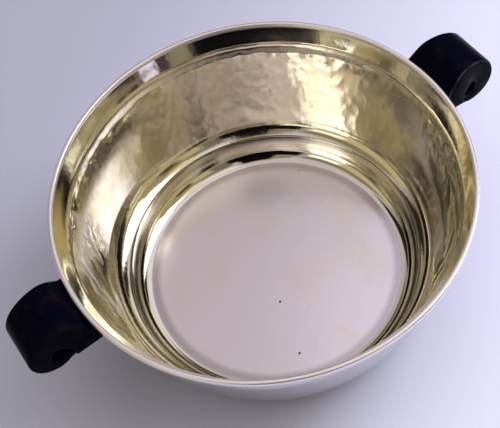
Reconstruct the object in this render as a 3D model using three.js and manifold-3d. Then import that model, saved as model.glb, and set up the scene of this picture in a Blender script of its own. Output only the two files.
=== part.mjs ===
// A hammered silver bowl with two black scroll handles.
// Millimetres, +Z up. The origin is the middle of the foot, on the table, and the handles lie along X.
import * as THREE from 'three';
import { mergeVertices } from 'three/addons/utils/BufferGeometryUtils.js';
import Module from 'manifold-3d';

const wasm = await Module();
wasm.setup();

// Fits
const SEAT_GAP = 0.3;            // between a piece and the piece it is soldered or pegged to
const TURN_STEPS = 72;           // steps round the bowl

// The bowl's inside, from the rim down: how far each stretch falls and how much it narrows
const RIM_RADIUS = 75;           // outside of the rim
const COLLAR_HEIGHT = 12.8;      // the flared collar, down to the soft crease under it
const COLLAR_FLARE = 5;
const LIP_LENGTH = 5;            // the even flare at the collar's top, along its slope
const WALL_HEIGHT = 31.2;        // the long wall, down to where it starts to turn in
const WALL_TAPER = 8.7;
const TURN_HEIGHT = 5;           // the turn, down to the fine crease where the wall stops
const TURN_TAPER = 4.7;
const STEP_HEIGHT = 10.2;        // the step, down to the flat disc
const STEP_TAPER = 7.6;

// The slope of the inside away from upright, in degrees
const LIP_SLOPE = 30;
const NECK_SLOPE = 1;
const WALL_SLOPE = 12;
const TURN_SLOPE = 19;
const SEAM_SLOPE = 67;
const STEP_SLOPE = 4;

// Sheet and wire
const WALL_SHEET = 1.2;
const PAN_SHEET = 1.3;
const RIM_WIRE_WIDTH = 1.9;
const RIM_WIRE_HEIGHT = 2.2;
const RIM_WIRE_ROUND = 0.75;
const FOOT_PROUD = 1;            // how far the foot ring stands outside the flat disc's edge
const FOOT_WIDTH = 2.6;
const FOOT_HEIGHT = 2.6;
const FOOT_ROUND = 0.6;

// The handle's scroll, seen from the side
const EYE_REACH = 11.7;          // eye's centre, out from the rim
const EYE_DROP = 10.2;           // eye's centre, below the rim
const EYE_RADIUS = 3.8;
const CROWN_RADIUS = 15.1;       // eye's centre to the crown, where the spiral starts
const CROWN_ANGLE = 106;         // degrees up from level
const KEEL_RADIUS = 7;           // eye's centre to the underside, where the spiral stops
const KEEL_ANGLE = -105;
const SPIRAL_EASE = 1.2;         // above 1, the spiral closes more slowly at the crown
const ROOT_TOP_DROP = 2;         // top of the root, below the rim
const ROOT_RISE = 45;            // degrees that the root's top climbs away from the rim
const ROOT_HEIGHT = 8.5;
const SLIT_HEIGHT = 2.6;         // between the root and the tail
const SLIT_ANGLE = 198;          // where the root's underside leaves the eye
const TAIL_REACH = 0.9;          // the tail's tip, out from the rim
const TAIL_THICKNESS = 2.6;

// Rounding of the handle's long edges
const CROWN_ROUND = 1.6;         // outside, at the crown
const TAIL_ROUND = 0.9;          // outside, at the keel and the tail
const EYE_ROUND = 1.1;           // inside, along the eye

// The handle seen from above: broad at the root, narrow at the nose, and narrower still under it
const ROOT_HALF_WIDTH = 12;
const NOSE_HALF_WIDTH = 9.2;
const TAIL_HALF_WIDTH = 8.4;
const WIDTH_EASE = 2;

// Saddle plates and pegs
const SADDLE_SHEET = 1;
const SADDLE_TOP_DROP = 4;       // the saddle's top edge, below the rim
const SADDLE_BORDER = 1;         // how far the saddle shows past the root
const SADDLE_CORNER = 2;
const PEG_RADIUS = 1.2;
const PEG_SPACING = 12;
const PEG_DEPTH = 6;             // into the handle's root

// Fineness of the curves
const LIP_STEPS = 2;
const COLLAR_STEPS = 4;
const WALL_STEPS = 5;
const BEND_STEPS = 6;
const CORNER_STEPS = 1;
const SPIRAL_STEPS = 22;
const TIP_STEPS = 2;
const EDGE_STEPS = 1;
const PEG_STEPS = 16;

// Heights and radii that follow from the sizes above
const floorZ = FOOT_HEIGHT + SEAT_GAP + PAN_SHEET;
const seamZ = floorZ + STEP_HEIGHT;
const turnZ = seamZ + TURN_HEIGHT;
const neckZ = turnZ + WALL_HEIGHT;
const rimZ = neckZ + COLLAR_HEIGHT;
const neckRadius = RIM_RADIUS - COLLAR_FLARE;
const turnRadius = neckRadius - WALL_TAPER;
const seamRadius = turnRadius - TURN_TAPER;
const floorRadius = seamRadius - STEP_TAPER;
const footRadius = floorRadius + FOOT_PROUD;

const point = (x, y) => new THREE.Vector2(x, y);
const radians = THREE.MathUtils.degToRad;
const { clamp, lerp } = THREE.MathUtils;

// Unit vector at an angle up from level, in degrees.
const heading = (degrees) => point(Math.cos(radians(degrees)), Math.sin(radians(degrees)));

// Heading of the inside where it runs down and inwards, from its slope away from upright.
const down = (slope) => heading(-90 - slope);

// A smooth stretch of outline between two points, leaving and arriving along given headings.
const PULL = 0.37;
function stretch(from, leaving, to, arriving, steps) {
  const pull = PULL * from.distanceTo(to);
  const first = from.clone().addScaledVector(leaving, pull);
  const second = to.clone().addScaledVector(arriving, -pull);
  return new THREE.CubicBezierCurve(from, first, second, to).getPoints(steps);
}

// Joins stretches end to end and keeps the point that two of them share once.
const joined = (...lines) => lines.flatMap((line, i) => (i === 0 ? line : line.slice(1)));

// Moves a line that runs down the inside outwards, square to itself.
function movedOut(line, distance) {
  return line.map((here, i) => {
    const before = line[Math.max(i - 1, 0)];
    const after = line[Math.min(i + 1, line.length - 1)];
    const along = after.clone().sub(before).normalize();
    return point(here.x - along.y * distance, here.y + along.x * distance);
  });
}

// A ring, bowl or plug turned round the bowl's axis. The outline runs up the outside and down the inside,
// and starts and ends on the axis or is closed here.
function turned(outline) {
  const loop = outline[0].x > 0 ? [...outline, outline[0].clone()] : outline;
  return new THREE.LatheGeometry(loop, TURN_STEPS).rotateX(Math.PI / 2);
}

// Outline of a rectangle with rounded corners, from its lower right. Its upper corners can have their own rounding.
function roundedBox(left, right, low, high, round, upper = round) {
  const shape = new THREE.Shape();
  const quarter = Math.PI / 2;
  shape.absarc(right - round, low + round, round, -quarter, 0);
  shape.absarc(right - upper, high - upper, upper, 0, quarter);
  shape.absarc(left + upper, high - upper, upper, quarter, 2 * quarter);
  shape.absarc(left + round, low + round, round, 2 * quarter, 3 * quarter);
  return shape;
}

const ring = (left, right, low, high, round) =>
  turned(roundedBox(left, right, low, high, round).getPoints(CORNER_STEPS));

// A closed geometry as a solid that can be cut and joined, and back.
function solidOf(geometry) {
  const bare = geometry.clone();
  bare.deleteAttribute('normal');
  bare.deleteAttribute('uv');
  const merged = mergeVertices(bare, 1e-4);
  const mesh = new wasm.Mesh({
    numProp: 3,
    vertProperties: new Float32Array(merged.attributes.position.array),
    triVerts: new Uint32Array(merged.index.array),
  });
  return new wasm.Manifold(mesh);
}

function geometryOf(solid) {
  const mesh = solid.getMesh();
  const geometry = new THREE.BufferGeometry();
  geometry.setAttribute('position', new THREE.BufferAttribute(new Float32Array(mesh.vertProperties), 3));
  geometry.setIndex(new THREE.BufferAttribute(new Uint32Array(mesh.triVerts), 1));
  geometry.computeVertexNormals();
  return geometry;
}

// The body: the flared collar, the long wall and the turn into the base. Its lip is dressed level.
const lip = point(RIM_RADIUS - RIM_WIRE_WIDTH, rimZ - RIM_WIRE_HEIGHT - SEAT_GAP);
const lipFoot = lip.clone().addScaledVector(down(LIP_SLOPE), LIP_LENGTH);
const neck = point(neckRadius, neckZ);
const turn = point(turnRadius, turnZ);
const seam = point(seamRadius, seamZ);
const wallInside = joined(
  stretch(lip, down(LIP_SLOPE), lipFoot, down(LIP_SLOPE), LIP_STEPS),
  stretch(lipFoot, down(LIP_SLOPE), neck, down(NECK_SLOPE), COLLAR_STEPS),
  stretch(neck, down(WALL_SLOPE), turn, down(TURN_SLOPE), WALL_STEPS),
  stretch(turn, down(TURN_SLOPE), seam, down(SEAM_SLOPE), BEND_STEPS),
);
const wallOutside = movedOut(wallInside, WALL_SHEET);
wallOutside[0].y = lip.y;
const bodyWall = turned([...wallOutside.toReversed(), ...wallInside]);

// The base pan: a short steep step, a cove and the flat floor.
const panTop = point(seamRadius - SEAT_GAP, wallOutside[wallOutside.length - 1].y - SEAT_GAP);
const floorEdge = point(floorRadius, floorZ);
const step = stretch(panTop, down(STEP_SLOPE), floorEdge, heading(180), BEND_STEPS);
const panInside = [...step, point(0, floorZ)];
const panOutside = movedOut(panInside, PAN_SHEET);
panOutside[0].y = panTop.y;
const basePan = turned([...panOutside.toReversed(), ...panInside]);

const rimWire = ring(RIM_RADIUS - RIM_WIRE_WIDTH, RIM_RADIUS, rimZ - RIM_WIRE_HEIGHT, rimZ, RIM_WIRE_ROUND);
const footRing = ring(footRadius - FOOT_WIDTH, footRadius, 0, FOOT_HEIGHT, FOOT_ROUND);

// The space that the handle's root keeps clear of: the bowl, its rim and the saddle plate.
const rootFace = RIM_RADIUS + SEAT_GAP;
const seatLine = movedOut(wallOutside, SEAT_GAP + SADDLE_SHEET + SEAT_GAP)
  .filter(({ x, y }) => x < rootFace && y < lip.y);
const bowlSpace = solidOf(turned([
  point(0, seatLine[seatLine.length - 1].y),
  ...seatLine.toReversed(),
  point(rootFace, seatLine[0].y),
  point(rootFace, rimZ + RIM_RADIUS),
  point(0, rimZ + RIM_RADIUS),
]));

// The scroll from the side, as stations across its thickness: from the root over the crown, round the nose
// and the keel, and back along the tail to its tip. Each has a point outside, one inside and half its width.
const eye = point(RIM_RADIUS + EYE_REACH, rimZ - EYE_DROP);
const rootTop = point(RIM_RADIUS, rimZ - ROOT_TOP_DROP);
const rootLow = rootTop.y - ROOT_HEIGHT;
const rootBack = neckRadius - WALL_SHEET;
const roundEye = (radius, degrees) => eye.clone().addScaledVector(heading(degrees), radius);
const station = (outside, inside, half, round = CROWN_ROUND) => ({ outside, inside, half, round });

// Eye's centre to the outside of the scroll, at a share of the way from the crown to the keel.
const spiralRadius = (share) => lerp(CROWN_RADIUS, KEEL_RADIUS, share ** SPIRAL_EASE);

// Half the handle's width between the root and the nose, at a distance from the bowl's axis.
const noseReach = EYE_REACH + spiralRadius(CROWN_ANGLE / (CROWN_ANGLE - KEEL_ANGLE));
function halfWidth(x) {
  const share = clamp(1 - (x - RIM_RADIUS) / noseReach, 0, 1);
  return NOSE_HALF_WIDTH + (ROOT_HALF_WIDTH - NOSE_HALF_WIDTH) * share ** WIDTH_EASE;
}

function rootStations() {
  const crown = roundEye(CROWN_RADIUS, CROWN_ANGLE);
  const rise = stretch(rootTop, heading(ROOT_RISE), crown, heading(CROWN_ANGLE - 90), BEND_STEPS);
  const back = station(point(rootBack, rootTop.y), point(rootBack, rootLow), ROOT_HALF_WIDTH);
  const climbing = rise.slice(0, -1).map((outside, i) => {
    const angle = lerp(SLIT_ANGLE, CROWN_ANGLE, i / BEND_STEPS);
    return station(outside, roundEye(EYE_RADIUS, angle), halfWidth(outside.x));
  });
  return [back, ...climbing];
}

function spiralStations() {
  const stations = [];
  for (let i = 0; i <= SPIRAL_STEPS; i++) {
    const share = i / SPIRAL_STEPS;
    const angle = lerp(CROWN_ANGLE, KEEL_ANGLE, share);
    const outside = roundEye(spiralRadius(share), angle);
    const half = angle > 0
      ? halfWidth(outside.x)
      : lerp(NOSE_HALF_WIDTH, TAIL_HALF_WIDTH, angle / KEEL_ANGLE);
    stations.push(station(outside, roundEye(EYE_RADIUS, angle), half, lerp(CROWN_ROUND, TAIL_ROUND, share)));
  }
  return stations;
}

function tailStations() {
  const half = TAIL_THICKNESS / 2;
  const tip = point(RIM_RADIUS + TAIL_REACH + half, rootLow - SLIT_HEIGHT - half);
  const fromTip = (degrees) => tip.clone().addScaledVector(heading(degrees), half);
  const back = heading(KEEL_ANGLE - 90);
  const keel = roundEye(KEEL_RADIUS, KEEL_ANGLE);
  const eyeLow = roundEye(EYE_RADIUS, KEEL_ANGLE);
  const under = stretch(keel, back, fromTip(-90), heading(180), BEND_STEPS).slice(1);
  const over = stretch(eyeLow, back, fromTip(90), heading(180), BEND_STEPS).slice(1);
  const along = under.map((outside, i) => station(outside, over[i], TAIL_HALF_WIDTH, TAIL_ROUND));
  for (let i = 1; i <= TIP_STEPS; i++) {
    const lean = 90 * (i / (TIP_STEPS + 1));
    along.push(station(fromTip(-90 - lean), fromTip(90 + lean), TAIL_HALF_WIDTH, TAIL_ROUND));
  }
  return along;
}

// The scroll as a strip swept through its stations, with a rounded oblong across it.
function scrollBody() {
  const stations = [...rootStations(), ...spiralStations(), ...tailStations()];
  const rings = stations.map(({ outside, inside, half, round }) => {
    const across = outside.clone().sub(inside);
    const thick = across.length() / 2;
    const most = 0.9 * thick;
    const middle = inside.clone().lerp(outside, 0.5);
    across.normalize();
    return roundedBox(-half, half, -thick, thick, Math.min(EYE_ROUND, most), Math.min(round, most))
      .getPoints(EDGE_STEPS)
      .map(({ x, y }) => [middle.x + across.x * y, x, middle.y + across.y * y]);
  });
  const loop = rings[0].length;
  const index = [];
  for (let i = 0; i < rings.length - 1; i++) {
    for (let j = 0; j < loop; j++) {
      const a = i * loop + j;
      const b = i * loop + ((j + 1) % loop);
      index.push(a, b, a + loop, b, b + loop, a + loop);
    }
  }
  const last = (rings.length - 1) * loop;
  for (let j = 1; j < loop - 1; j++) {
    index.push(0, j + 1, j);
    index.push(last, last + j, last + j + 1);
  }
  const geometry = new THREE.BufferGeometry();
  geometry.setAttribute('position', new THREE.BufferAttribute(new Float32Array(rings.flat(2)), 3));
  geometry.setIndex(index);
  return solidOf(geometry);
}

// Pegs run level from the wall's outside through the saddle and into the root.
const pegZ = rootTop.y - ROOT_HEIGHT / 2;
const wallOutsideAt = (z) => {
  const i = wallOutside.findIndex((p) => p.y < z);
  const [above, below] = [wallOutside[i - 1], wallOutside[i]];
  return lerp(above.x, below.x, (above.y - z) / (above.y - below.y));
};
const pegEnd = RIM_RADIUS + PEG_DEPTH;
const pegStart = wallOutsideAt(pegZ + PEG_RADIUS) + SEAT_GAP;
const peg = (radius, from, to) =>
  new THREE.CylinderGeometry(radius, radius, to - from, PEG_STEPS)
    .rotateZ(Math.PI / 2)
    .translate((from + to) / 2, 0, pegZ);

const pegSides = { near: -PEG_SPACING / 2, far: PEG_SPACING / 2 };
function withPegHoles(solid) {
  const drill = peg(PEG_RADIUS + SEAT_GAP, neckRadius, pegEnd + SEAT_GAP);
  const hole = (y) => solidOf(drill.clone().translate(0, y, 0));
  return Object.values(pegSides).reduce((cut, y) => cut.subtract(hole(y)), solid);
}

const handle = geometryOf(withPegHoles(scrollBody().subtract(bowlSpace)));

// The saddle: a plate that follows the collar's outside, with rounded corners.
function saddlePlate() {
  const under = movedOut(wallOutside, SEAT_GAP);
  const over = movedOut(wallOutside, SEAT_GAP + SADDLE_SHEET);
  const sleeve = solidOf(turned([...over.toReversed(), ...under]));
  const half = ROOT_HALF_WIDTH + SADDLE_BORDER;
  const low = rootLow - SADDLE_BORDER;
  const shape = roundedBox(-half, half, low, rimZ - SADDLE_TOP_DROP, SADDLE_CORNER);
  const depth = { depth: RIM_RADIUS, bevelEnabled: false, curveSegments: CORNER_STEPS };
  const block = new THREE.ExtrudeGeometry(shape, depth);
  block.rotateX(Math.PI / 2).rotateZ(Math.PI / 2);
  return sleeve.intersect(solidOf(block));
}

const saddle = geometryOf(withPegHoles(saddlePlate()));

// Finishes
const silver = new THREE.MeshStandardMaterial({ color: 0xd8d2c4, roughness: 0.18, metalness: 1 });
const satinSilver = new THREE.MeshStandardMaterial({ color: 0xd5d0c8, roughness: 0.32, metalness: 1 });
const black = new THREE.MeshStandardMaterial({ color: 0x0c0c10, roughness: 0.2, metalness: 0 });

function piece(name, geometry, finish) {
  const mesh = new THREE.Mesh(geometry, finish.clone());
  mesh.name = name;
  return mesh;
}

const bowl = new THREE.Group();
bowl.add(piece('body_wall', bodyWall, silver));
bowl.add(piece('base_pan', basePan, satinSilver));
bowl.add(piece('rim_wire', rimWire, silver));
bowl.add(piece('foot_ring', footRing, silver));

// One side's fittings are made on +X, and each side is that set turned round the bowl's axis.
const sides = { right: 0, left: Math.PI };
for (const [side, turnedBy] of Object.entries(sides)) {
  const fittings = new THREE.Group();
  fittings.add(piece(`handle_${side}`, handle, black));
  fittings.add(piece(`saddle_${side}`, saddle, silver));
  for (const [place, y] of Object.entries(pegSides)) {
    const pin = piece(`peg_${side}_${place}`, peg(PEG_RADIUS, pegStart, pegEnd), silver);
    pin.position.y = turnedBy === 0 ? y : -y;
    fittings.add(pin);
  }
  fittings.rotation.z = turnedBy;
  bowl.add(fittings);
}

export default bowl;
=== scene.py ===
import math

import bmesh
import bpy
import numpy as np
from mathutils import Matrix, Vector


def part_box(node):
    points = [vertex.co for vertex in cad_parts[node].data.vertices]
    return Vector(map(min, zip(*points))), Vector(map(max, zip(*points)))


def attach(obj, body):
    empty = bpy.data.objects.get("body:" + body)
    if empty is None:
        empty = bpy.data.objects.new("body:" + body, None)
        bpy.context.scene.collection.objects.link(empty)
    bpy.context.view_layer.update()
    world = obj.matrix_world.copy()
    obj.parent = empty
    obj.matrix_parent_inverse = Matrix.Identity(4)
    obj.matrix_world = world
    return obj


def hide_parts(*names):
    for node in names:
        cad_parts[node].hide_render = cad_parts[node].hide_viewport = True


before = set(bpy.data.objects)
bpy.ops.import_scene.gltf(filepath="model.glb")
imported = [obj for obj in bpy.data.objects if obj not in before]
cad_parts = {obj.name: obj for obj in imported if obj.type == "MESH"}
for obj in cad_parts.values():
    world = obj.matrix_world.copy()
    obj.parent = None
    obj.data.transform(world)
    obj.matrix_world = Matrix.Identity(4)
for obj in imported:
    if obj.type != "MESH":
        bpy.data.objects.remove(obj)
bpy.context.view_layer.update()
MM = 0.001


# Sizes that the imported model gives
def box_mm(node):
    low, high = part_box(node)
    return np.array(low) / MM, np.array(high) / MM


wire_low, wire_high = box_mm("rim_wire")
RIM_RADIUS = wire_high[0]
RIM_Z = wire_high[2]
WIRE_HEIGHT = wire_high[2] - wire_low[2]
foot_low, foot_high = box_mm("foot_ring")
FOOT_RADIUS = foot_high[0]
FOOT_HEIGHT = foot_high[2]

# The bowl's inside, from the rim down: how far each stretch falls and how much it narrows
COLLAR_HEIGHT = 12.8
COLLAR_FLARE = 5
LIP_FOOT_DROP = 6.9              # where the even flare at the collar's top stops, below the rim
LIP_FOOT_IN = 4.5                # and how far inside the rim
WALL_HEIGHT = 31.2
WALL_TAPER = 8.7
TURN_HEIGHT = 5
TURN_TAPER = 4.7
STEP_HEIGHT = 10.2
STEP_TAPER = 7.6

# The slope of the inside away from upright, in degrees
LIP_SLOPE = 28
NECK_SLOPE = 1
WALL_SLOPE = 12
TURN_SLOPE = 19
SEAM_SLOPE = 67
STEP_SLOPE = 4

# Sheet and wire
WALL_SHEET = 1.2
PAN_SHEET = 1.3
WIRE_WIDTH = 1.9
WIRE_ROUND = 0.75
FOOT_WIDTH = 2.6
FOOT_ROUND = 0.6
SOLDER_GAP = 0.05                # left between two pieces that touch
LIP_OUT = 0.25                   # how far the lip reaches in under the wire
LIP_UP = 0.9

# The handle's scroll, seen from the side
EYE_REACH = 11.7                 # eye's centre, out from the rim
EYE_DROP = 10.2                  # eye's centre, below the rim
EYE_RADIUS = 3.8
CROWN_RADIUS = 15.1              # eye's centre to the crown, where the spiral starts
CROWN_ANGLE = 106
KEEL_RADIUS = 7                  # eye's centre to the underside, where the spiral stops
KEEL_ANGLE = -105
SPIRAL_EASE = 1.2
ROOT_TOP_DROP = 2
ROOT_RISE = 45
ROOT_HEIGHT = 8.5
SLIT_ANGLE = 198                 # where the root's underside leaves the eye
SLIT_HEIGHT = 2.6
TAIL_REACH = 0.9                 # the tail's tip, out from the rim
TAIL_THICKNESS = 2.6

# Half the handle's width at the rim, at the nose and at the tail's tip, and the rounding of its edges
ROOT_HALF_WIDTH = 12
NOSE_HALF_WIDTH = 9.2
TAIL_HALF_WIDTH = 8.4
WIDTH_EASE = 2
CROWN_ROUND = 1.6
TAIL_ROUND = 0.9
EYE_ROUND = 1.1
ROUND_LIMIT = 0.9                # the most of half the thickness that a rounding takes

# Saddle plates
SADDLE_SHEET = 1
SADDLE_TOP_DROP = 4
SADDLE_BORDER = 1
SADDLE_CORNER = 2
SADDLE_SOFT = 0.35               # the edge's rounding, as a share of the sheet

# Sides of the round pieces, and steps along each stretch of outline
ROUND_BOWL = 600
ROUND_RING = 360
LIP_STEPS = 12
FLARE_STEPS = 16
WALL_STEPS = 48
TURN_STEPS = 20
PAN_STEPS = 40
DISC_POINTS = 26
OUTSIDE_POINTS = 62              # the wall's outside, which needs fewer than its inside
COLLAR_POINTS = LIP_STEPS + FLARE_STEPS + 1
PAST_CREASE = 3                  # points below the crease that a saddle's lower edge needs
CORNER_STEPS = 6
RISE_STEPS = 16
SPIRAL_STEPS = 48
TAIL_STEPS = 14
TIP_STEPS = 6
ROOT_STEPS = 5

PULL = 0.37                      # how strongly a stretch of outline holds its headings
ON_AXIS = 1e-6

# The camera, fitted to the rim, the inside rings and both handles
VIEW_AZIMUTH = -23.8
VIEW_ELEVATION = 56.96
VIEW_ROLL = 12.52
VIEW_DISTANCE = 346.05
VIEW_RIGHT = -5.41
VIEW_UP = -10.16
LENS = 72


class Wire:
    """A node's output that arithmetic can be done on: each sum or product adds a Math node."""

    def __init__(self, socket):
        self.socket = socket

    def sum_up(self, operation, first, second):
        sheet = Sheet(self.socket.id_data)
        return sheet.add("ShaderNodeMath", {"operation": operation}, {0: first, 1: second})

    def __add__(self, other):
        return self.sum_up("ADD", self, other)

    def __radd__(self, other):
        return self.sum_up("ADD", other, self)

    def __sub__(self, other):
        return self.sum_up("SUBTRACT", self, other)

    def __rsub__(self, other):
        return self.sum_up("SUBTRACT", other, self)

    def __mul__(self, other):
        return self.sum_up("MULTIPLY", self, other)

    def __rmul__(self, other):
        return self.sum_up("MULTIPLY", other, self)

    def __truediv__(self, other):
        return self.sum_up("DIVIDE", self, other)

    def __rtruediv__(self, other):
        return self.sum_up("DIVIDE", other, self)

    def __pow__(self, other):
        return self.sum_up("POWER", self, other)


class Sheet:
    """The nodes of one material, world or geometry tree."""

    def __init__(self, tree):
        self.tree = tree

    def node(self, kind, settings=None, sockets=None):
        made = self.tree.nodes.new(kind)
        for name, value in (settings or {}).items():
            setattr(made, name, value)
        for name, value in (sockets or {}).items():
            if isinstance(value, Wire):
                self.tree.links.new(value.socket, made.inputs[name])
            else:
                made.inputs[name].default_value = value
        return made

    def add(self, kind, settings=None, sockets=None, out=0):
        return Wire(self.node(kind, settings, sockets).outputs[out])

    def blend(self, share, first, second):
        """A colour from first, at share 0, to second, at share 1."""
        return self.add("ShaderNodeMix", {"data_type": "RGBA"}, {0: share, 6: first, 7: second}, out=2)

    def ease(self, value, start, end, low=0.0, high=1.0):
        """Goes smoothly from low to high as value goes from start to end."""
        sockets = {"Value": value, "From Min": start, "From Max": end, "To Min": low, "To Max": high}
        return self.add("ShaderNodeMapRange", {"interpolation_type": "SMOOTHSTEP"}, sockets)

    def noise(self, where, scale, detail=3.0):
        return self.add("ShaderNodeTexNoise", None, {"Vector": where, "Scale": scale, "Detail": detail})

    def scaled(self, vector, factor):
        return self.add("ShaderNodeVectorMath", {"operation": "SCALE"}, {0: vector, "Scale": factor})

    def absolute(self, value):
        return self.add("ShaderNodeMath", {"operation": "ABSOLUTE"}, {0: value})

    def parts(self, vector):
        """A vector's x, y and z."""
        split = self.node("ShaderNodeSeparateXYZ", None, {"Vector": vector})
        return [Wire(split.outputs[i]) for i in range(3)]

    def stretched(self, where, scale):
        """Coordinates scaled by three factors, so that a pattern is drawn out one way."""
        return self.add("ShaderNodeMapping", None, {"Vector": where, "Scale": scale})


# Outlines
def heading(degrees):
    """A unit step along a heading: 0 is outwards and 90 is up."""
    return np.array([math.cos(math.radians(degrees)), math.sin(math.radians(degrees))])


def down(slope):
    """The heading of a line that runs down the bowl's inside, so many degrees away from upright."""
    return heading(-90 - slope)


def stretch(start, leaving, end, arriving, steps):
    """A smooth stretch of outline between two points, leaving and arriving along given headings."""
    start, end = np.array(start, float), np.array(end, float)
    pull = PULL * np.linalg.norm(end - start)
    first, second = start + pull * leaving, end - pull * arriving
    t = np.linspace(0, 1, steps + 1)[:, None]
    s = 1 - t
    return s**3 * start + 3 * s * s * t * first + 3 * s * t * t * second + t**3 * end


def joined(*lines):
    """Lines that each start where the last one ended, made one."""
    return np.vstack([lines[0], *[line[1:] for line in lines[1:]]])


def moved_out(line, distance):
    """Moves a line that runs down the inside outwards, square to itself."""
    along = np.gradient(line, axis=0)
    along /= np.linalg.norm(along, axis=1, keepdims=True)
    return line + distance * np.column_stack([-along[:, 1], along[:, 0]])


def rounded_box(left, right, low, high, lower, upper=None):
    """A rectangle with rounded corners, anticlockwise from its lower right. The upper corners can have their
    own radius."""
    upper = upper or lower
    corners = [(right - lower, low + lower, lower, -90), (right - upper, high - upper, upper, 0),
               (left + upper, high - upper, upper, 90), (left + lower, low + lower, lower, 180)]
    points = []
    for x, y, radius, start in corners:
        for i in range(CORNER_STEPS + 1):
            points.append(np.array([x, y]) + radius * heading(start + 90 * i / CORNER_STEPS))
    return np.array(points)


# Meshes
def mesh_piece(name, points, faces, sharp=40):
    """An object of points in millimetres, smooth but for edges sharper than an angle."""
    mesh = bpy.data.meshes.new(name)
    mesh.from_pydata((np.asarray(points) * MM).tolist(), [], faces)
    mesh.validate()
    mesh.shade_smooth()
    mesh.set_sharp_from_angle(angle=math.radians(sharp))
    piece = bpy.data.objects.new(name, mesh)
    bpy.context.scene.collection.objects.link(piece)
    return piece


def turned(name, outline, steps):
    """An outline of radius and height turned round the bowl's axis. It runs up the outside and down the
    inside, and either closes on itself or starts and ends on the axis."""
    outline = np.asarray(outline)
    poles = outline[0][0] < ON_AXIS
    walls = outline[1:-1] if poles else outline
    count = len(walls)
    angles = np.linspace(0, 2 * math.pi, steps, endpoint=False)
    radius, height = walls[:, 0], walls[:, 1]
    x = np.outer(np.cos(angles), radius)
    y = np.outer(np.sin(angles), radius)
    z = np.tile(height, (steps, 1))
    points = np.stack([x, y, z], axis=-1).reshape(-1, 3).tolist()
    spans = range(count - 1) if poles else range(count)
    faces = []
    for k in range(steps):
        here, there = k * count, (k + 1) % steps * count
        for i in spans:
            up = (i + 1) % count
            faces.append((here + i, there + i, there + up, here + up))
    if poles:
        first, last = len(points), len(points) + 1
        points += [[0, 0, outline[0][1]], [0, 0, outline[-1][1]]]
        for k in range(steps):
            here, there = k * count, (k + 1) % steps * count
            faces.append((first, there, here))
            faces.append((here + count - 1, there + count - 1, last))
    return mesh_piece(name, points, faces)


def settled(piece):
    """Turns a piece's modifiers into plain mesh."""
    evaluated = piece.evaluated_get(bpy.context.evaluated_depsgraph_get())
    mesh = bpy.data.meshes.new_from_object(evaluated)
    mesh.name = piece.name
    piece.modifiers.clear()
    piece.data = mesh
    return piece


# Hammering
def hammering_tree():
    """Moves a surface in and out as planishing blows leave it: small shallow dishes over a slow waviness.
    Near the crease the dishes are deeper, and the crease itself sways up and down."""
    crease_reach = 0.6               # as a share of the fade
    wave_detail = 1.5
    sway_fineness = 1.6              # this times the next is how many swells there are in a blow's width
    sway_scale = 0.25
    tree = bpy.data.node_groups.new("planishing", "GeometryNodeTree")
    tree.is_modifier = True
    tree.interface.new_socket("Geometry", in_out="INPUT", socket_type="NodeSocketGeometry")
    for name in ("Blow width", "Blow height", "Blow depth", "Wave length", "Wave depth", "Low edge",
                 "High edge", "Fade", "Crease", "Crease depth", "Crease sway"):
        tree.interface.new_socket(name, in_out="INPUT", socket_type="NodeSocketFloat")
    tree.interface.new_socket("Finish", in_out="INPUT", socket_type="NodeSocketMaterial")
    tree.interface.new_socket("Geometry", in_out="OUTPUT", socket_type="NodeSocketGeometry")
    sheet = Sheet(tree)
    source = sheet.node("NodeGroupInput")
    given = {socket.name: Wire(socket) for socket in source.outputs if socket.name}
    place = sheet.add("GeometryNodeInputPosition")
    x, y, z = sheet.parts(place)
    width, height = given["Blow width"], given["Blow height"]
    cells = sheet.add("ShaderNodeCombineXYZ", None, {"X": x / width, "Y": y / width, "Z": z / height})
    blows = sheet.add("ShaderNodeTexVoronoi", None, {"Vector": cells, "Scale": 1.0})
    slow = sheet.scaled(place, 1.0 / given["Wave length"])
    waves = sheet.noise(slow, 1.0, detail=wave_detail) - 0.5
    near_crease = sheet.ease(sheet.absolute(z - given["Crease"]), given["Fade"] * crease_reach, 0.0)
    depth = given["Blow depth"] + near_crease * given["Crease depth"]
    relief = blows * blows * depth + waves * given["Wave depth"]
    above = sheet.ease(z - given["Low edge"], 0.0, given["Fade"])
    below = sheet.ease(given["High edge"] - z, 0.0, given["Fade"])
    normal = sheet.add("GeometryNodeInputNormal")
    inwards = sheet.scaled(normal, relief * above * below * -1.0)
    close = sheet.scaled(place, sway_fineness / width)
    sway = (sheet.noise(close, sway_scale, detail=1.0) - 0.5) * 2.0 * near_crease * given["Crease sway"]
    along = sheet.add("ShaderNodeCombineXYZ", None, {"Z": sway})
    offset = sheet.add("ShaderNodeVectorMath", {"operation": "ADD"}, {0: inwards, 1: along})
    smooth = Wire(source.outputs[0])
    moved = sheet.add("GeometryNodeSetPosition", None, {"Geometry": smooth, "Offset": offset})
    whole = sheet.add("GeometryNodeRealizeInstances", None, {"Geometry": moved})
    finished = sheet.add("GeometryNodeSetMaterial", None, {"Geometry": whole, "Material": given["Finish"]})
    sheet.node("NodeGroupOutput", None, {"Geometry": finished})
    return tree


def hammered(piece, tree, finish, **sizes):
    """A piece with the planishing worked into its mesh. The sizes are the tree's inputs, in millimetres."""
    modifier = piece.modifiers.new("planishing", "NODES")
    modifier.node_group = tree
    ids = {item.name: item.identifier for item in tree.interface.items_tree if item.in_out == "INPUT"}
    modifier[ids["Finish"]] = finish
    for name, value in sizes.items():
        modifier[ids[name.replace("_", " ")]] = float(value * MM)
    return settled(piece)


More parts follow.
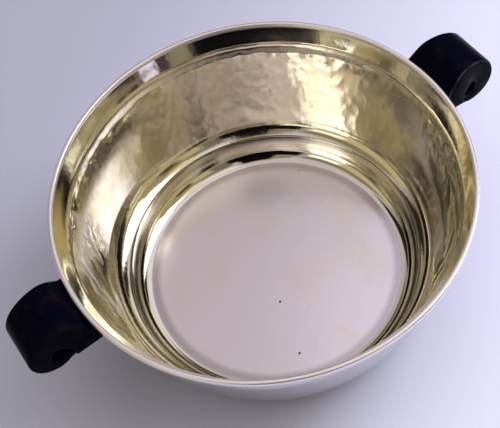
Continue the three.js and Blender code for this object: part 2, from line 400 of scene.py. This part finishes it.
# The silver pieces
lip = (RIM_RADIUS - WIRE_WIDTH + LIP_OUT, RIM_Z - WIRE_HEIGHT + LIP_UP)
lip_foot = (RIM_RADIUS - LIP_FOOT_IN, RIM_Z - LIP_FOOT_DROP)
neck = (RIM_RADIUS - COLLAR_FLARE, RIM_Z - COLLAR_HEIGHT)
turn = (neck[0] - WALL_TAPER, neck[1] - WALL_HEIGHT)
seam = (turn[0] - TURN_TAPER, turn[1] - TURN_HEIGHT)
floor_edge = (seam[0] - STEP_TAPER, seam[1] - STEP_HEIGHT)
floor_z = floor_edge[1]


def wall_lines():
    """The wall's inside and outside, from the lip down to the seam."""
    inside = joined(
        stretch(lip, down(LIP_SLOPE), lip_foot, down(LIP_SLOPE), LIP_STEPS),
        stretch(lip_foot, down(LIP_SLOPE), neck, down(NECK_SLOPE), FLARE_STEPS),
        stretch(neck, down(WALL_SLOPE), turn, down(TURN_SLOPE), WALL_STEPS),
        stretch(turn, down(TURN_SLOPE), seam, down(SEAM_SLOPE), TURN_STEPS),
    )
    return inside, moved_out(inside, WALL_SHEET)


def stood_up(piece, bearing, middle, reach, degrees, spread):
    """Stands the wall more upright in one place, as uneven raising leaves it. The bearing is in degrees right
    of the direction that the camera looks in."""
    lean_end = 1.5                   # the lean dies out this many reaches from the middle
    seam_fade = 7                    # and eases in over this height above the seam
    points = np.empty(len(piece.data.vertices) * 3)
    piece.data.vertices.foreach_get("co", points)
    points = points.reshape(-1, 3)
    x, y, z = points.T / MM
    apart = np.degrees(np.arctan2(y, x)) - (90 - bearing + VIEW_AZIMUTH)
    beside = np.exp(-((((apart + 180) % 360 - 180) / spread) ** 4))
    height = (z - middle) / reach
    push = -math.tan(math.radians(degrees)) * reach * height * np.exp(-((height / lean_end) ** 4))
    push *= beside * np.clip((z - seam[1]) / seam_fade, 0, 1) ** 2
    points[:, :2] *= (1 + push / np.hypot(x, y))[:, None]
    piece.data.vertices.foreach_set("co", points.ravel())
    piece.data.update()


def body_wall(tree, finish):
    inside, outside = wall_lines()
    outside = outside[np.unique(np.linspace(0, len(outside) - 1, OUTSIDE_POINTS).astype(int))]
    outside[0][1] = inside[0][1]
    piece = turned("hammered_wall", np.vstack([outside[::-1], inside]), ROUND_BOWL)
    stood_up(piece, bearing=-67, middle=31, reach=13, degrees=7.5, spread=28)
    stood_up(piece, bearing=86, middle=38, reach=10, degrees=6.5, spread=26)
    return hammered(piece, tree, finish, Blow_width=3, Blow_height=5, Blow_depth=0.08, Wave_length=24,
                    Wave_depth=0.35, Low_edge=seam[1], High_edge=RIM_Z - 4, Fade=7, Crease=neck[1],
                    Crease_depth=0.12, Crease_sway=2)


def pan_lines():
    """The base's inside and outside, from the seam down the step and in to the axis."""
    top = (seam[0] - SOLDER_GAP, wall_lines()[1][-1][1] - SOLDER_GAP)
    step = stretch(top, down(STEP_SLOPE), floor_edge, heading(180), PAN_STEPS)
    disc = np.column_stack([np.linspace(floor_edge[0], 0, DISC_POINTS), np.full(DISC_POINTS, floor_z)])
    inside = joined(step, disc)
    outside = moved_out(inside, PAN_SHEET)
    outside[0][1] = top[1]
    outside[-1][0] = 0
    return inside, outside


def base_pan():
    inside, outside = pan_lines()
    return turned("stepped_base", np.vstack([outside[::-1], inside]), ROUND_RING)


def rim_wire():
    outline = rounded_box(RIM_RADIUS - WIRE_WIDTH, RIM_RADIUS, RIM_Z - WIRE_HEIGHT, RIM_Z, WIRE_ROUND)
    return turned("rim_edge", outline, ROUND_RING)


def foot_ring():
    outline = rounded_box(FOOT_RADIUS - FOOT_WIDTH, FOOT_RADIUS, 0, FOOT_HEIGHT, FOOT_ROUND)
    return turned("foot", outline, ROUND_RING)


# The handles
eye = np.array([RIM_RADIUS + EYE_REACH, RIM_Z - EYE_DROP])
root_top = np.array([RIM_RADIUS, RIM_Z - ROOT_TOP_DROP])
root_low = root_top[1] - ROOT_HEIGHT


def from_eye(radius, degrees):
    return eye + radius * heading(degrees)


def spiral_outside(degrees):
    """The outside of the scroll, from the crown round the nose to the keel."""
    share = (CROWN_ANGLE - degrees) / (CROWN_ANGLE - KEEL_ANGLE)
    return from_eye(CROWN_RADIUS + (KEEL_RADIUS - CROWN_RADIUS) * share**SPIRAL_EASE, degrees)


def scroll_stations():
    """Stations from the rim to the tail's tip: a point outside, one inside, half the width and the outer
    rounding."""
    stations = []
    crown = spiral_outside(CROWN_ANGLE)
    rise = stretch(root_top, heading(ROOT_RISE), crown, heading(CROWN_ANGLE - 90), RISE_STEPS)[:-1]
    for outside, angle in zip(rise, np.linspace(SLIT_ANGLE, CROWN_ANGLE, RISE_STEPS + 1)):
        stations.append((outside, from_eye(EYE_RADIUS, angle), half_width(outside[0]), CROWN_ROUND))
    for angle in np.linspace(CROWN_ANGLE, KEEL_ANGLE, SPIRAL_STEPS + 1):
        outside = spiral_outside(angle)
        below = NOSE_HALF_WIDTH + (TAIL_HALF_WIDTH - NOSE_HALF_WIDTH) * angle / KEEL_ANGLE
        share = (CROWN_ANGLE - angle) / (CROWN_ANGLE - KEEL_ANGLE)
        rounding = CROWN_ROUND + (TAIL_ROUND - CROWN_ROUND) * share
        half = half_width(outside[0]) if angle > 0 else below
        stations.append((outside, from_eye(EYE_RADIUS, angle), half, rounding))
    half = TAIL_THICKNESS / 2
    tip = np.array([RIM_RADIUS + TAIL_REACH + half, root_low - SLIT_HEIGHT - half])
    back, inwards = heading(KEEL_ANGLE - 90), heading(180)
    keel, over_keel = from_eye(KEEL_RADIUS, KEEL_ANGLE), from_eye(EYE_RADIUS, KEEL_ANGLE)
    under = stretch(keel, back, tip + half * heading(-90), inwards, TAIL_STEPS)[1:]
    over = stretch(over_keel, back, tip + half * heading(90), inwards, TAIL_STEPS)[1:]
    closing = np.linspace(0, 90, TIP_STEPS + 1)[1:-1]
    under = [*under, *(tip + half * heading(-90 - lean) for lean in closing)]
    over = [*over, *(tip + half * heading(90 + lean) for lean in closing)]
    return stations + [(low, high, TAIL_HALF_WIDTH, TAIL_ROUND) for low, high in zip(under, over)]


def half_width(x):
    """Half the width between the root and the nose, at a distance from the bowl's axis."""
    nose = EYE_REACH + np.linalg.norm(spiral_outside(0) - eye)
    share = np.clip(1 - (x - RIM_RADIUS) / nose, 0, 1)
    return NOSE_HALF_WIDTH + (ROOT_HALF_WIDTH - NOSE_HALF_WIDTH) * share**WIDTH_EASE


def seat_radius(z):
    """How far from the axis a handle starts: just outside the collar."""
    outside = wall_lines()[1][:COLLAR_POINTS][::-1]
    return np.interp(z, outside[:, 1], outside[:, 0]) + SADDLE_SHEET


def scroll(name, side):
    """A strip swept along the scroll, with a rounded oblong across it. Side is 1 at the right and -1 at the
    left."""
    rings = []
    for high, low, half, edge in scroll_stations():
        thick = np.linalg.norm(high - low) / 2
        across = (high - low) / thick / 2
        place = (low + high) / 2
        most = thick * ROUND_LIMIT
        box = rounded_box(-half, half, -thick, thick, min(EYE_ROUND, most), min(edge, most))
        rings.append([(place[0] + t * across[0], y, place[1] + t * across[1]) for y, t in box])
    first = np.array(rings[0])
    seat = first.copy()
    seat[:, 0] = np.sqrt(seat_radius(first[:, 2]) ** 2 - first[:, 1] ** 2)
    seat[:, 2] = root_low + (first[:, 2] - first[:, 2].min()) * ROOT_HEIGHT / np.ptp(first[:, 2])
    root = [seat + (first - seat) * share for share in np.linspace(0, 1, ROOT_STEPS + 1)[:-1]]
    rings = np.array(root + rings)
    count, loop = rings.shape[:2]
    faces = []
    for i in range(count - 1):
        for j in range(loop):
            k = (j + 1) % loop
            faces.append((i * loop + j, (i + 1) * loop + j, (i + 1) * loop + k, i * loop + k))
    faces.append(tuple(range(loop)))
    faces.append(tuple(reversed(range((count - 1) * loop, count * loop))))
    points = rings.reshape(-1, 3) * [side, side, 1]
    piece = mesh_piece(name, points, faces, sharp=50)
    face_outwards(piece)
    return piece


def face_outwards(piece):
    """Turns every face of a closed piece outwards."""
    work = bmesh.new()
    work.from_mesh(piece.data)
    bmesh.ops.recalc_face_normals(work, faces=work.faces)
    work.to_mesh(piece.data)
    work.free()


def saddle(name, side):
    """A plate bent round the collar behind a handle's root, with rounded corners and edges."""
    half = ROOT_HALF_WIDTH + SADDLE_BORDER
    low, high = root_low - SADDLE_BORDER, RIM_Z - SADDLE_TOP_DROP
    outside = wall_lines()[1][:COLLAR_POINTS + PAST_CREASE][::-1]
    edge = rounded_box(-half, half, low, high, SADDLE_CORNER)
    centre = np.array([0, (low + high) / 2])
    soft = SADDLE_SHEET * SADDLE_SOFT
    levels = [(0, 0), (0, SADDLE_SHEET - soft)]          # in from the edge, and up from the collar
    for lean in np.radians([30, 60, 90]):
        levels.append((soft * (1 - math.cos(lean)), SADDLE_SHEET - soft * (1 - math.sin(lean))))
    levels += [(inset, SADDLE_SHEET) for inset in (1, 2, 3)]
    rings = []
    for inset, lift in levels:
        reach = np.array([half, (high - low) / 2])
        scale = (reach - inset) / reach
        for across, z in centre + (edge - centre) * scale:
            radius = np.interp(z, outside[:, 1], outside[:, 0]) + SOLDER_GAP + lift
            angle = across / radius
            rings.append((radius * math.cos(angle), radius * math.sin(angle), z))
    loop = len(edge)
    count = len(levels)
    faces = [tuple(reversed(range(loop))), tuple(range((count - 1) * loop, count * loop))]
    for i in range(count - 1):
        for j in range(loop):
            k = (j + 1) % loop
            faces.append((i * loop + j, i * loop + k, (i + 1) * loop + k, (i + 1) * loop + j))
    piece = mesh_piece(name, np.array(rings) * [side, side, 1], faces)
    face_outwards(piece)
    return piece


# Finishes
def paint(red, green, blue):
    """A colour as seen on a screen, in parts of 255, turned into the renderer's own light values."""
    seen = np.array([red, green, blue]) / 255
    light = np.where(seen <= 0.04045, seen / 12.92, ((seen + 0.055) / 1.055) ** 2.4)
    return (*light.tolist(), 1.0)


SILVER = paint(247, 243, 230)
SILVER_WARM = paint(242, 234, 208)
SILVER_COOL = paint(246, 240, 244)
SILVER_PAINTED_SHADE = paint(203, 197, 201)
PIT = paint(60, 50, 45)
BLACK = paint(5, 5, 18)
BLACK_HANDLED = paint(20, 13, 20)
BLACK_PAINTED_HIGHLIGHT = paint(58, 60, 78)
TABLE_SHADED = paint(174, 175, 197)
TABLE_LIT = paint(227, 229, 253)
ROOM_LOW = paint(136, 128, 112)
ROOM_HIGH = paint(196, 186, 190)
BACKDROP = paint(206, 206, 222)


def new_finish(name):
    material = bpy.data.materials.new(name)
    material.use_nodes = True
    material.node_tree.nodes.clear()
    return material, Sheet(material.node_tree)


def in_mm(sheet):
    """A piece's own coordinates, in millimetres."""
    return sheet.scaled(sheet.add("ShaderNodeTexCoord", out=3), 1 / MM)


def own_normal(sheet):
    """The direction that a piece's surface faces, in its own coordinates."""
    return sheet.add("ShaderNodeTexCoord", out=1)


def outer_side(sheet, place):
    """1 on the bowl's outside and 0 on its inside."""
    soft = 5.0
    sockets = {0: own_normal(sheet), 1: place}
    outwards = sheet.add("ShaderNodeVectorMath", {"operation": "DOT_PRODUCT"}, sockets, out=1)
    return sheet.ease(outwards, -soft, soft)


def surface(sheet, **sockets):
    """Ends a material in one Principled shader with the given sockets."""
    named = {name.replace("_", " "): value for name, value in sockets.items()}
    shader = sheet.add("ShaderNodeBsdfPrincipled", None, named)
    sheet.node("ShaderNodeOutputMaterial", None, {"Surface": shader})


def bump(sheet, height, distance):
    """A normal for marks too fine for the mesh, their depth in millimetres."""
    sockets = {"Height": height, "Distance": distance * MM, "Strength": 1.0}
    return sheet.add("ShaderNodeBump", None, sockets)


def hammered_silver():
    """Bright silver with fine planishing marks, dulled where cloth doesn't reach, and darker outside with
    painted shade.
    """
    material, sheet = new_finish("hammered silver")
    place = in_mm(sheet)
    marks_per_mm = (0.62, 0.62, 0.26)
    streaks_per_mm = (0.5, 0.5, 0.16)
    sockets = {"Vector": sheet.stretched(place, marks_per_mm), "Scale": 1.0, "Smoothness": 0.6}
    blows = sheet.add("ShaderNodeTexVoronoi", {"feature": "SMOOTH_F1"}, sockets)
    streaks = sheet.noise(sheet.stretched(place, streaks_per_mm), 1.0, detail=2.0)
    fine = sheet.noise(place, 3.0, detail=3.0)
    dull = sheet.ease(sheet.noise(place, 0.07, detail=4.0), 0.35, 0.75)
    outside = outer_side(sheet, place)
    # The outside is painted darker: painted shade for the shaded table that it reflects.
    colour = sheet.blend(outside, sheet.blend(dull, SILVER, SILVER_WARM), SILVER_PAINTED_SHADE)
    normal = bump(sheet, blows * 0.5 + streaks * 0.8 + fine * 0.04, 0.025)
    rough = 0.07 + dull * 0.05 + fine * 0.03 + outside * 0.06
    surface(sheet, Base_Color=colour, Metallic=1.0, Roughness=rough, Normal=normal)
    return material


def satin_silver():
    """The step and the disc, smooth, and darker outside with painted shade. The disc is matt from use, most
    so on its far side, and has hair scratches and a few pits."""
    material, sheet = new_finish("satin silver")
    place = in_mm(sheet)
    x, y, z = sheet.parts(place)
    reach = (x * x + y * y) ** 0.5
    disc = sheet.ease(reach, floor_edge[0] - 1, floor_edge[0] - 4)
    disc = disc * sheet.ease(z, floor_z + 3, floor_z + 1)
    cloud = sheet.noise(place, 0.045, detail=3.0)
    far = heading(90 + VIEW_AZIMUTH).tolist()
    rubbed = sheet.ease(x * far[0] + y * far[1], 20.0, 42.0)
    stain = sheet.ease(cloud, 0.5, 0.72) * disc
    pits = sheet.add("ShaderNodeTexVoronoi", None, {"Vector": place, "Scale": 0.075})
    pit = sheet.ease(pits, 0.045, 0.02) * disc
    colour = sheet.blend(stain * 0.4, sheet.blend(disc, SILVER, SILVER_COOL), SILVER_WARM)
    colour = sheet.blend(pit, colour, PIT)
    # The step's outside is painted darker too: painted shade.
    outside = outer_side(sheet, place) * (1 - disc)
    colour = sheet.blend(outside, colour, SILVER_PAINTED_SHADE)
    hair = sheet.noise(sheet.stretched(place, (1.4, 7.0, 1.0)), 1.0, detail=5.0)
    swell = sheet.noise(place, 0.2, detail=2.0)
    rough = 0.05 + disc * (0.09 + cloud * 0.05) + rubbed * disc * 0.16 + hair * 0.02 + outside * 0.08
    normal = bump(sheet, hair * disc * 0.4 + swell * 2.5 - pit * 8, 0.01)
    surface(sheet, Base_Color=colour, Metallic=1.0, Roughness=rough, Normal=normal)
    return material


def plain_silver():
    """Smooth wire, ring and plates, softly polished, with small nicks."""
    material, sheet = new_finish("plain silver")
    place = in_mm(sheet)
    dull = sheet.ease(sheet.noise(place, 0.12, detail=4.0), 0.4, 0.8)
    nicks = sheet.noise(place, 1.1, detail=3.0)
    colour = sheet.blend(dull * 0.5, SILVER_COOL, SILVER_WARM)
    rough = 0.18 + dull * 0.1
    surface(sheet, Base_Color=colour, Metallic=0.75, Roughness=rough, Normal=bump(sheet, nicks, 0.02))
    return material


def black_handle():
    """Polished black, faintly brown where handling has worn it. The right one's edges carry a painted grey
    highlight.
    """
    material, sheet = new_finish("black handle")
    place = in_mm(sheet)
    wear = sheet.ease(sheet.noise(place, 0.16, detail=3.0), 0.5, 0.8)
    grain = sheet.noise(sheet.stretched(place, (0.5, 0.12, 0.5)), 2.0, detail=4.0)
    sideways = sheet.absolute(sheet.parts(own_normal(sheet))[1])
    # A painted highlight: the rounded edges and the eye's rim, mostly on the right handle, are painted grey.
    edge = sheet.ease(sideways, 0.4, 0.65) * sheet.ease(sideways, 0.96, 0.8)
    edge = edge * sheet.ease(sheet.parts(place)[0], -60.0, 60.0, 0.05, 1.0)
    edge = edge * sheet.ease(sheet.noise(place, 0.3, detail=2.0), 0.35, 0.6, 0.25, 0.75)
    colour = sheet.blend(wear, BLACK, BLACK_HANDLED)
    colour = sheet.blend(edge, colour, BLACK_PAINTED_HIGHLIGHT)
    rough = 0.12 + wear * 0.12 + grain * 0.05
    surface(sheet, Base_Color=colour, Roughness=rough, IOR=1.06, Normal=bump(sheet, grain, 0.015))
    return material


# The room that the silver reflects: soft panels and dark openings, placed as seen from the bowl. Angles are
# degrees right of the direction that the camera looks in, and degrees above the table. Each panel covers
# those before it.
PANELS = (
    # centre, half width, low, high, softness, colour, strength
    (-105, 34, -10, 44, 8, (188, 174, 136), 1.0),
    (-105, 34, 44, 62, 8, (132, 122, 96), 1.0),
    (-49, 11, 26, 60, 6, (38, 34, 26), 1.0),
    (-48, 16, -10, 26, 8, (120, 106, 78), 1.0),
    (-18, 12, -10, 44, 8, (112, 102, 82), 1.0),
    (8, 16, -10, 38, 6, (20, 18, 12), 1.0),
    (38, 14, -10, 30, 6, (164, 154, 136), 1.0),
    (40, 13, 28, 46, 6, (222, 214, 202), 1.0),
    (112, 45, 72, 86, 6, (233, 221, 220), 1.0),
    (-178, 26, 72, 81, 5, (156, 142, 118), 1.0),
    (16, 11, 60, 78, 6, (236, 226, 238), 1.0),
    (38, 26, 46, 74, 10, (226, 220, 232), 1.0),
    (118, 18, 52, 71, 6, (224, 210, 182), 1.0),
    (121, 17, 40, 52, 6, (152, 138, 104), 1.0),
    (84, 21, 24, 66, 5, (255, 253, 248), 2.2),
    (55, 7, 14, 40, 4, (24, 20, 18), 1.0),
    (109, 9, -5, 42, 5, (156, 142, 100), 1.0),
    (127, 7, 8, 40, 5, (92, 74, 50), 1.0),
    (135, 16, 1, 13, 4, (54, 40, 46), 1.0),
    (140, 4, 3, 11, 3, (222, 210, 244), 1.3),
    (143, 9, 14, 46, 5, (182, 169, 132), 1.0),
    (141, 11, 46, 62, 6, (132, 124, 102), 1.0),
    (156, 7, 18, 62, 5, (116, 110, 97), 1.0),
    (-155, 12, 46, 74, 5, (142, 132, 114), 1.0),
    (-171, 27, -10, 48, 4, (8, 9, 11), 1.0),
    (-177, 15, 44, 74, 4, (10, 10, 12), 1.0),
    (-148, 10, 12, 25, 3, (255, 255, 252), 1.3),
    (-143, 6, -10, 10, 4, (8, 9, 11), 1.0),
    (-127, 11, 31, 44, 5, (255, 250, 242), 1.2),
)


def studio():
    """The room as light and reflections. The camera itself sees a plain pale backdrop."""
    world = bpy.data.worlds.new("studio")
    world.use_nodes = True
    world.node_tree.nodes.clear()
    sheet = Sheet(world.node_tree)
    towards = sheet.add("ShaderNodeTexCoord", out=0)
    lined_up = sheet.add("ShaderNodeVectorRotate", {"rotation_type": "Z_AXIS"},
                         {"Vector": towards, "Angle": math.radians(-VIEW_AZIMUTH)})
    right, away, up = sheet.parts(lined_up)
    degree = 180 / math.pi
    bearing = sheet.add("ShaderNodeMath", {"operation": "ARCTAN2"}, {0: right, 1: away})
    height = sheet.add("ShaderNodeMath", {"operation": "ARCSINE"}, {0: up}) * degree
    seen = sheet.blend(sheet.ease(height, 20, 70), ROOM_LOW, ROOM_HIGH)
    for centre, half, low, high, soft, colour, strength in PANELS:
        cosine = sheet.add("ShaderNodeMath", {"operation": "COSINE"}, {0: bearing - math.radians(centre)})
        apart = sheet.add("ShaderNodeMath", {"operation": "ARCCOSINE"}, {0: cosine}) * degree
        mask = sheet.ease(apart, half + soft / 2, half - soft / 2)
        mask = mask * sheet.ease(height, low - soft / 2, low + soft / 2)
        mask = mask * sheet.ease(height, high + soft / 2, high - soft / 2)
        shade = (*(strength * part for part in paint(*colour)[:3]), 1.0)
        seen = sheet.blend(mask, seen, shade)
    straight = sheet.add("ShaderNodeLightPath", out=0)
    seen = sheet.blend(straight, seen, BACKDROP)
    light = sheet.add("ShaderNodeBackground", None, {"Color": seen, "Strength": 1.0})
    sheet.node("ShaderNodeOutputWorld", None, {"Surface": light})
    bpy.context.scene.world = world


def seen_from(azimuth, elevation):
    """The direction from the bowl to a camera or lamp, and the directions right and up as seen from there."""
    a, e = math.radians(azimuth), math.radians(elevation)
    right = Vector((math.cos(a), math.sin(a), 0))
    back = Vector((math.sin(a) * math.cos(e), -math.cos(a) * math.cos(e), math.sin(e)))
    return back, right, back.cross(right)


def camera():
    """The camera, placed by the distances that were fitted from the rim's centre."""
    back, right, up = seen_from(VIEW_AZIMUTH, VIEW_ELEVATION)
    data = bpy.data.cameras.new("camera")
    data.lens = LENS
    made = bpy.data.objects.new("camera", data)
    place = Vector((0, 0, RIM_Z)) + back * VIEW_DISTANCE + right * VIEW_RIGHT + up * VIEW_UP
    rolled = Matrix.Rotation(math.radians(-VIEW_ROLL), 3, "Z")
    facing = Matrix((right, up, back)).transposed() @ rolled
    made.matrix_world = Matrix.Translation(place * MM) @ facing.to_4x4()
    bpy.context.scene.collection.objects.link(made)
    bpy.context.scene.camera = made


def lamp(name, bearing, elevation, distance, size, power, colour=(1, 1, 1)):
    """A round soft lamp. Its bearing is in degrees right of the direction that the camera looks in, and its
    distance and size are in metres."""
    back, right, up = seen_from(VIEW_AZIMUTH + 180 - bearing, elevation)
    data = bpy.data.lights.new(name, "AREA")
    data.shape = "DISK"
    data.size = size
    data.energy = power
    data.color = colour
    made = bpy.data.objects.new(name, data)
    made.visible_glossy = False
    facing = Matrix((right, up, back)).transposed()
    made.matrix_world = Matrix.Translation(back * distance) @ facing.to_4x4()
    bpy.context.scene.collection.objects.link(made)


def table_top():
    """The plain pale floor, its colour painted lighter towards the light and darker away from it."""
    mesh = bpy.data.meshes.new("table_top")
    reach = 5.0
    corners = [(-reach, -reach, 0), (reach, -reach, 0), (reach, reach, 0), (-reach, reach, 0)]
    mesh.from_pydata(corners, [], [(0, 1, 2, 3)])
    top = bpy.data.objects.new("table_top", mesh)
    bpy.context.scene.collection.objects.link(top)
    material, sheet = new_finish("table top")
    back, right, _ = seen_from(VIEW_AZIMUTH, 0)
    sockets = {0: in_mm(sheet), 1: right * 0.8 + back * 0.6}
    lighter = sheet.add("ShaderNodeVectorMath", {"operation": "DOT_PRODUCT"}, sockets, out=1)
    # Painted light and shade: the floor's colour runs from shaded to lit.
    shade = sheet.blend(sheet.ease(lighter, -150.0, 130.0), TABLE_SHADED, TABLE_LIT)
    surface(sheet, Base_Color=shade, Roughness=0.7)
    mesh.materials.append(material)


# The bowl put together
tree = hammering_tree()
finishes = {
    "hammered_silver": hammered_silver(),
    "satin_silver": satin_silver(),
    "plain_silver": plain_silver(),
    "black_handle": black_handle(),
}
dressed = [
    (body_wall(tree, finishes["hammered_silver"]), "hammered_silver", "body_wall"),
    (base_pan(), "satin_silver", "base_pan"),
    (rim_wire(), "plain_silver", "rim_wire"),
    (foot_ring(), "plain_silver", "foot_ring"),
    (scroll("scroll_right", 1), "black_handle", "handle_right"),
    (scroll("scroll_left", -1), "black_handle", "handle_left"),
    (saddle("seat_plate_right", 1), "plain_silver", "saddle_right"),
    (saddle("seat_plate_left", -1), "plain_silver", "saddle_left"),
]
for piece, slot, node in dressed:
    piece.data.materials.clear()
    piece.data.materials.append(finishes[slot])
    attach(piece, "root")
    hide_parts(node)
for node in ("peg_right_near", "peg_right_far", "peg_left_near", "peg_left_far"):
    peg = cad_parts[node]
    for slot_place in peg.material_slots:
        slot_place.material = finishes["plain_silver"]

studio()
camera()
lamp("key", bearing=72, elevation=42, distance=0.62, size=0.4, power=1.7, colour=(0.92, 0.95, 1.12))
lamp("fill", bearing=62, elevation=86, distance=0.9, size=1.2, power=4)
table_top()
bpy.context.scene.view_settings.view_transform = "Standard"
